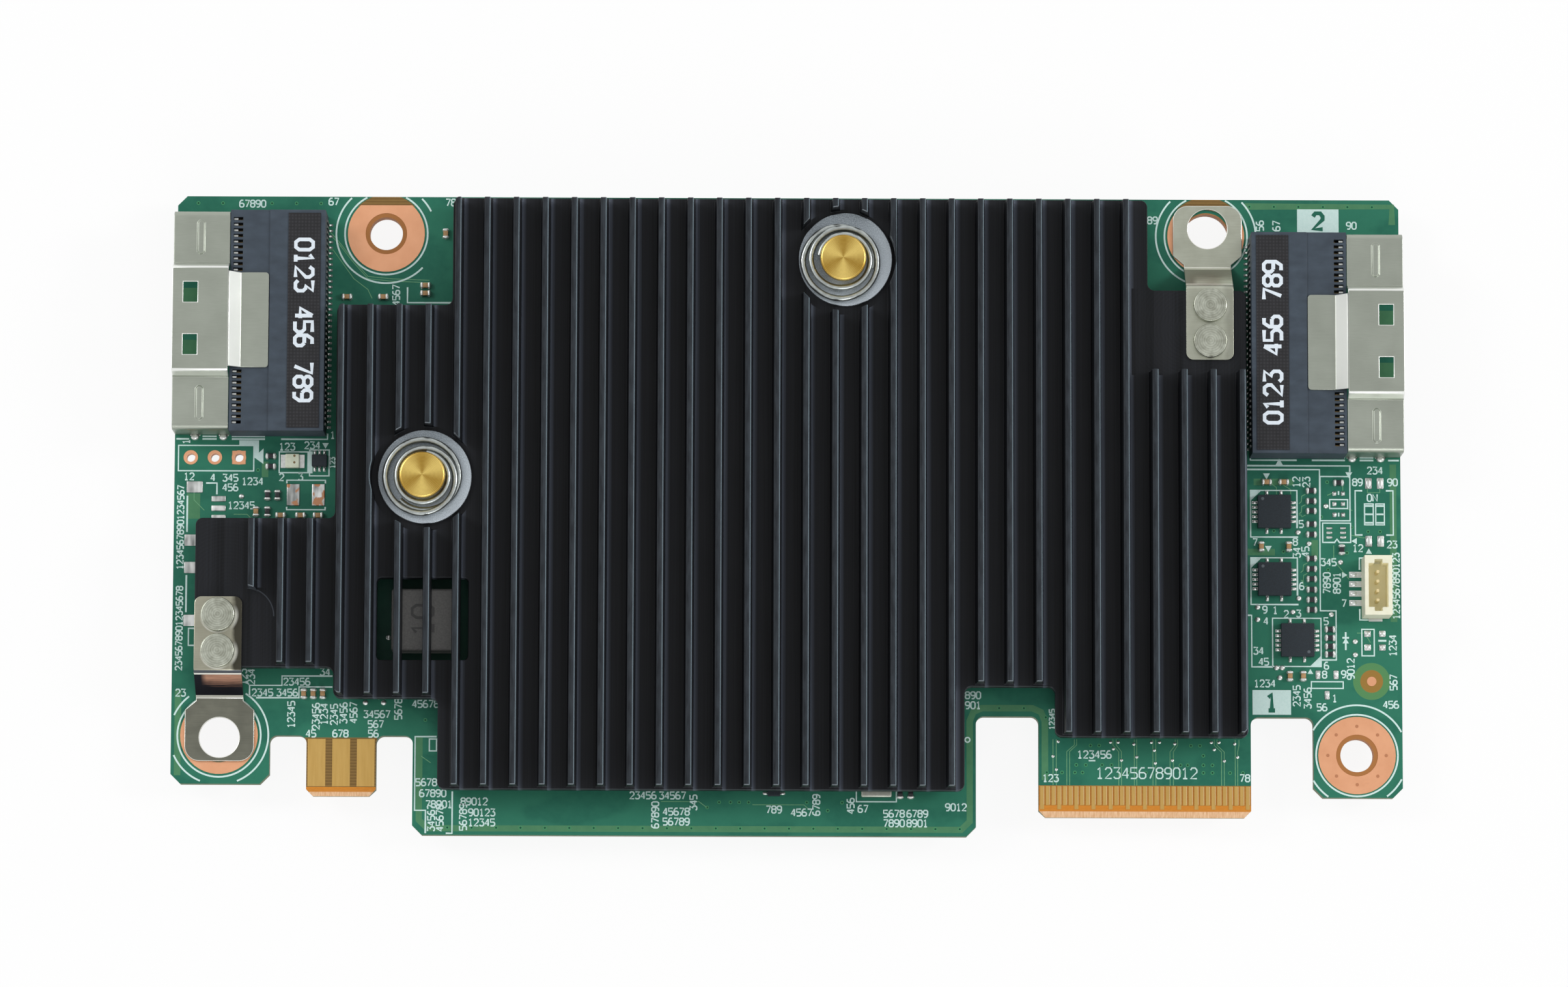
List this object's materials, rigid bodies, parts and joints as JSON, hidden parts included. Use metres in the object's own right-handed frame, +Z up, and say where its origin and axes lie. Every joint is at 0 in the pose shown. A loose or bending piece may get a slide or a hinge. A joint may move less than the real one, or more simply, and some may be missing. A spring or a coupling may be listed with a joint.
{
  "type": "host bus adapter",
  "caption": "Flat storage adapter card with a black finned heatsink, a cable receptacle on each short side and a tongue of gold edge contacts.",
  "frame": {"origin": "centre of the lower left mounting hole at the board's underside", "axes": "+X along the card from the left receptacle to the right one, +Y across the board away from its edge contacts, +Z up out of the side that carries the heatsink"},
  "size_m": [0.1293, 0.0677, 0.0113],
  "materials": {
    "board_laminate": "satin solder mask",
    "bare_copper": "satin",
    "gold_plating": "polished",
    "black_anodised": "satin",
    "brass": "turned",
    "zinc_steel": "satin",
    "spring_steel": "drawn wire",
    "nickel_sheet": "satin",
    "slate_plastic": "matt",
    "label_film": "matt",
    "cream_plastic": "matt",
    "chip_black": "matt",
    "resistor_black": "glazed",
    "capacitor_tan": "matt",
    "tin": "reflowed",
    "ferrite": "matt",
    "heat_pad": "matt",
    "led_body": "clear"
  },
  "bodies": {
    "root": {"circuit_board": "board_laminate", "mounting_pads_top": "bare_copper", "mounting_pads_rear": "bare_copper", "signal_edge_contacts_top": "gold_plating", "signal_edge_contacts_rear": "gold_plating", "power_edge_contacts_top": "gold_plating", "power_edge_contacts_rear": "gold_plating", "heatsink": "black_anodised", "lower_left_grounding_lug": "nickel_sheet", "upper_right_grounding_lug": "nickel_sheet", "lower_left_lug_rivets": "zinc_steel", "upper_right_lug_rivets": "zinc_steel", "debug_header_shroud": "cream_plastic", "debug_header_contacts": "tin", "driver_chips": "chip_black", "driver_chip_pins": "tin", "chip_resistors": "resistor_black", "resistor_terminals": "tin", "ceramic_capacitors": "capacitor_tan", "capacitor_terminals": "tin", "status_led": "led_body", "status_led_pins": "tin", "led_driver_chip": "chip_black", "led_driver_chip_pins": "tin", "supervisor_chip": "chip_black", "supervisor_chip_pins": "tin", "crystal_can": "zinc_steel", "tinned_lands": "tin", "controller_substrate": "board_laminate", "controller_lid": "nickel_sheet", "controller_heat_pad": "heat_pad", "window_inductor": "ferrite", "power_inductors": "ferrite", "regulator_chips": "chip_black", "flash_memory_chip": "chip_black", "rear_capacitors": "capacitor_tan", "left_push_pin": "brass", "left_pin_washer": "zinc_steel", "left_pin_spring": "spring_steel", "left_receptacle_shell": "nickel_sheet", "left_receptacle_housing": "slate_plastic", "left_receptacle_upper_contacts": "gold_plating", "left_receptacle_lower_contacts": "gold_plating", "left_receptacle_label": "label_film", "right_push_pin": "brass", "right_pin_washer": "zinc_steel", "right_pin_spring": "spring_steel", "right_receptacle_shell": "nickel_sheet", "right_receptacle_housing": "slate_plastic", "right_receptacle_upper_contacts": "gold_plating", "right_receptacle_lower_contacts": "gold_plating", "right_receptacle_label": "label_film"}
  },
  "joints": []
}
